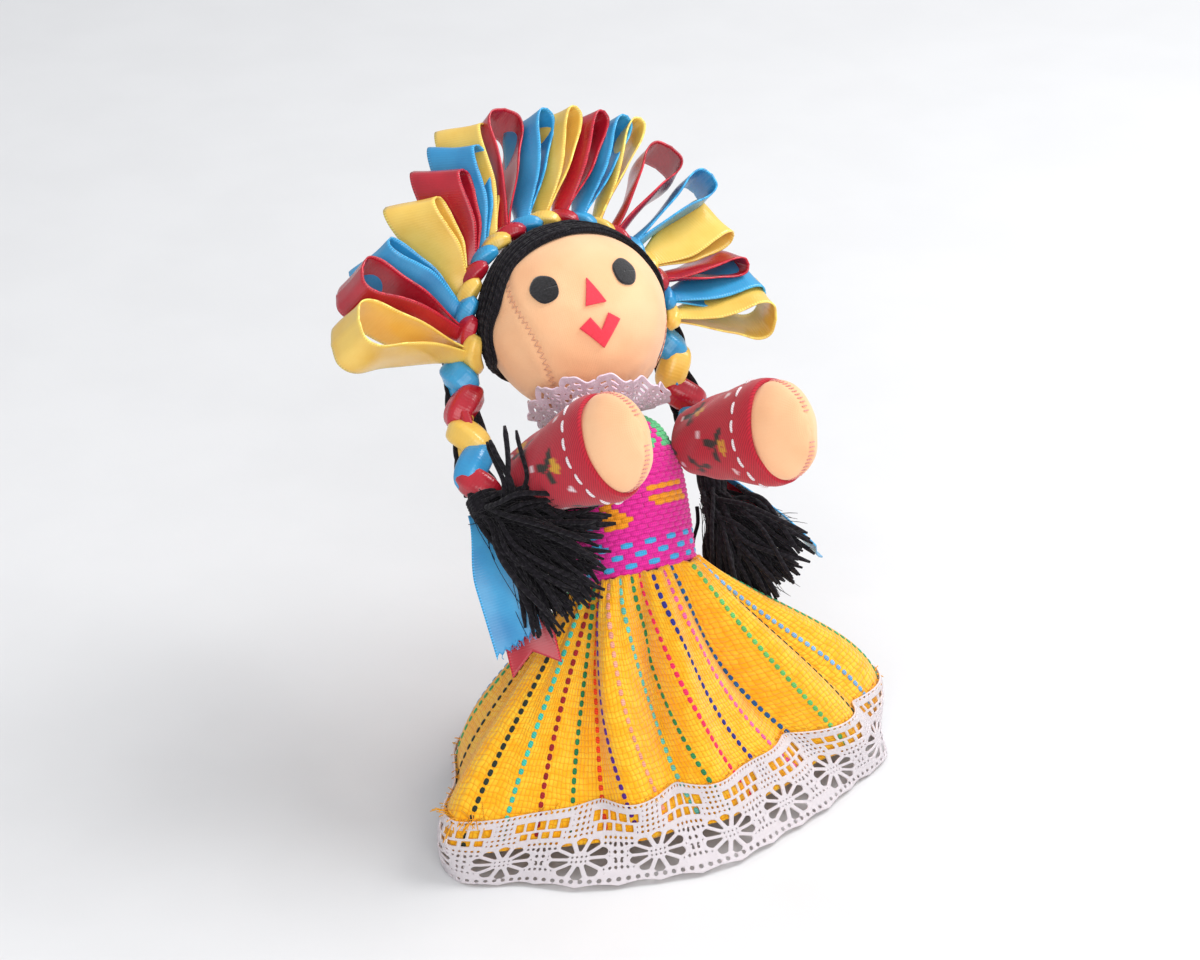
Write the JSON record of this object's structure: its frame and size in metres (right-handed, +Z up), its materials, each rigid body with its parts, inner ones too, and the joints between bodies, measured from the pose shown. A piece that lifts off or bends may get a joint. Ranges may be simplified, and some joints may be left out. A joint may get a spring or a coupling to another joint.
{
  "type": "cloth doll",
  "caption": "Stuffed cloth doll in folk dress with a crown of satin ribbon loops, yarn braids, printed sleeves, striped gathered skirt and lace hem, leaning back on its skirt.",
  "frame": {"origin": "middle of the bounding box at the floor, under the hem lace", "axes": "+Z up, the doll faces -Y and leans back towards +Y, its left hand is on +X"},
  "size_m": [0.1005, 0.104, 0.1161],
  "materials": {
    "skin_cotton": "plain-woven cotton, matt",
    "polyester_filling": "loose white filling",
    "black_yarn": "twisted acrylic yarn, matt",
    "red_print_twill": "cotton twill with a small printed sprig",
    "magenta_brocade": "hand-woven cotton with coloured weft motifs",
    "yellow_striped_weave": "coarse plain weave with coloured warp stripes",
    "white_lace": "machine lace, semi-matt",
    "pink_lace": "machine lace, semi-matt",
    "blue_satin": "satin ribbon, glossy",
    "red_satin": "satin ribbon, glossy",
    "yellow_satin": "satin ribbon, glossy",
    "coral_patch": "felt patch, matt",
    "black_patch": "felt patch, matt"
  },
  "bodies": {
    "torso": {"body_cover": "skin_cotton", "body_stuffing": "polyester_filling", "bodice": "magenta_brocade", "collar_lace": "pink_lace", "skirt": "yellow_striped_weave", "hem_lace": "white_lace"},
    "head": {"face_panel": "skin_cotton", "head_back_panel": "skin_cotton", "head_stuffing": "polyester_filling", "hair": "black_yarn", "left_eye": "black_patch", "right_eye": "black_patch", "nose": "coral_patch", "mouth": "coral_patch", "crown_loop_01_yellow": "yellow_satin", "crown_loop_02_red": "red_satin", "crown_loop_03_blue": "blue_satin", "crown_loop_04_yellow": "yellow_satin", "crown_loop_05_red": "red_satin", "crown_loop_06_blue": "blue_satin", "crown_loop_07_yellow": "yellow_satin", "crown_loop_08_red": "red_satin", "crown_loop_09_blue": "blue_satin", "crown_loop_10_yellow": "yellow_satin", "crown_loop_11_red": "red_satin", "crown_loop_12_blue": "blue_satin", "crown_loop_13_yellow": "yellow_satin", "crown_loop_14_red": "red_satin", "crown_loop_15_blue": "blue_satin", "crown_loop_16_yellow": "yellow_satin", "crown_loop_17_red": "red_satin", "crown_loop_18_blue": "blue_satin", "crown_loop_19_yellow": "yellow_satin"},
    "right_arm": {"right_arm_cover": "skin_cotton", "right_arm_stuffing": "polyester_filling", "right_sleeve": "red_print_twill"},
    "left_arm": {"left_arm_cover": "skin_cotton", "left_arm_stuffing": "polyester_filling", "left_sleeve": "red_print_twill"},
    "right_leg": {"right_leg_cover": "skin_cotton", "right_leg_stuffing": "polyester_filling"},
    "left_leg": {"left_leg_cover": "skin_cotton", "left_leg_stuffing": "polyester_filling"},
    "right_braid": {"right_braid_blue": "blue_satin", "right_braid_red": "red_satin", "right_braid_yellow": "yellow_satin", "right_braid_tie": "black_yarn", "right_tassel": "black_yarn", "right_tail_blue": "blue_satin", "right_tail_red": "red_satin"},
    "left_braid": {"left_braid_blue": "blue_satin", "left_braid_red": "red_satin", "left_braid_yellow": "yellow_satin", "left_braid_tie": "black_yarn", "left_tassel": "black_yarn", "left_tail_blue": "blue_satin", "left_tail_red": "red_satin"}
  },
  "joints": [
    {"name": "neck_nod", "type": "hinge", "parent": "torso", "child": "head", "pos_m": [-0.00257, 0.00106, 0.07257], "axis": [1, 0, 0], "range_deg": [-8, 3], "stiffness_Nm_per_rad": 0.25},
    {"name": "right_shoulder", "type": "hinge", "parent": "torso", "child": "right_arm", "pos_m": [-0.01957, -0.00941, 0.06661], "axis": [-0.9455, -0.2791, 0.1677], "range_deg": [-12, 25], "stiffness_Nm_per_rad": 0.02},
    {"name": "left_shoulder", "type": "hinge", "parent": "torso", "child": "left_arm", "pos_m": [0.01443, -0.00941, 0.06661], "axis": [-0.9703, -0.2074, 0.1246], "range_deg": [-10, 40], "stiffness_Nm_per_rad": 0.02},
    {"name": "right_hip", "type": "hinge", "parent": "torso", "child": "right_leg", "pos_m": [-0.00887, -0.01931, 0.0322], "axis": [1, 0, 0], "range_deg": [-8, 8], "stiffness_Nm_per_rad": 0.02},
    {"name": "left_hip", "type": "hinge", "parent": "torso", "child": "left_leg", "pos_m": [0.00373, -0.01931, 0.0322], "axis": [1, 0, 0], "range_deg": [-8, 8], "stiffness_Nm_per_rad": 0.02},
    {"name": "right_braid_swing", "type": "hinge", "parent": "head", "child": "right_braid", "pos_m": [-0.02507, 0.01406, 0.07713], "axis": [0, 0.8572, -0.515], "range_deg": [0, 25]},
    {"name": "left_braid_swing", "type": "hinge", "parent": "head", "child": "left_braid", "pos_m": [0.01943, 0.01502, 0.07795], "axis": [0, -0.8572, 0.515], "range_deg": [0, 25]}
  ]
}
